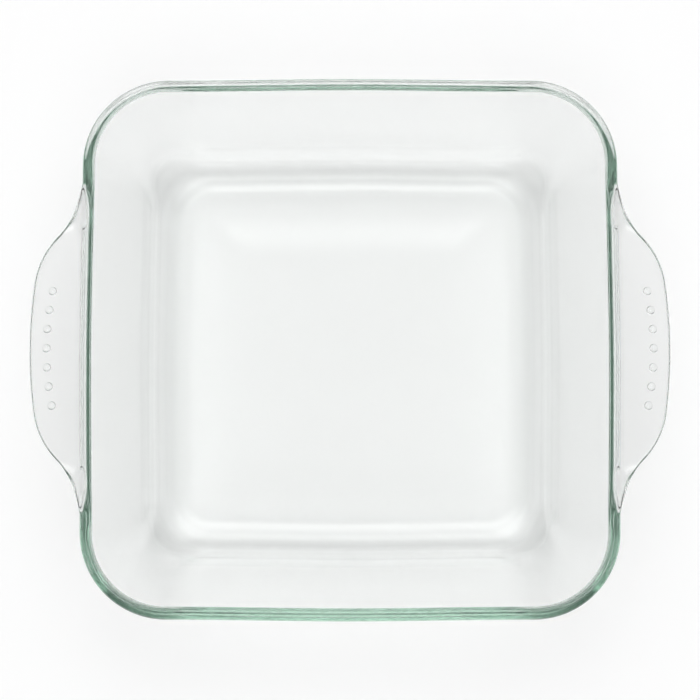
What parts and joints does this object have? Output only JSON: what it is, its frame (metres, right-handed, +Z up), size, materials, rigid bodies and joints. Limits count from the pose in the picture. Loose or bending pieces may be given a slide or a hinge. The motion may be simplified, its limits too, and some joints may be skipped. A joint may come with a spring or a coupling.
{
  "type": "square glass baking pan",
  "caption": "Square pressed-glass baking pan with sloping walls, round corners, a rolled rim and two wing handles with grip dots under them.",
  "frame": {"origin": "on the surface that the pan stands on, under the middle of the pan", "axes": "+X from the left handle to the right handle, +Y towards the back rim, +Z up out of the pan"},
  "size_m": [0.2754, 0.2338, 0.06],
  "materials": {
    "glass": "clear fire-polished glass with a faint green tint"
  },
  "bodies": {
    "root": {"floor": "glass", "heel": "glass", "wall": "glass", "rim": "glass", "left_handle": "glass", "right_handle": "glass", "left_grip_dot_1": "glass", "left_grip_dot_2": "glass", "left_grip_dot_3": "glass", "left_grip_dot_4": "glass", "left_grip_dot_5": "glass", "left_grip_dot_6": "glass", "left_grip_dot_7": "glass", "right_grip_dot_1": "glass", "right_grip_dot_2": "glass", "right_grip_dot_3": "glass", "right_grip_dot_4": "glass", "right_grip_dot_5": "glass", "right_grip_dot_6": "glass", "right_grip_dot_7": "glass"}
  },
  "joints": []
}
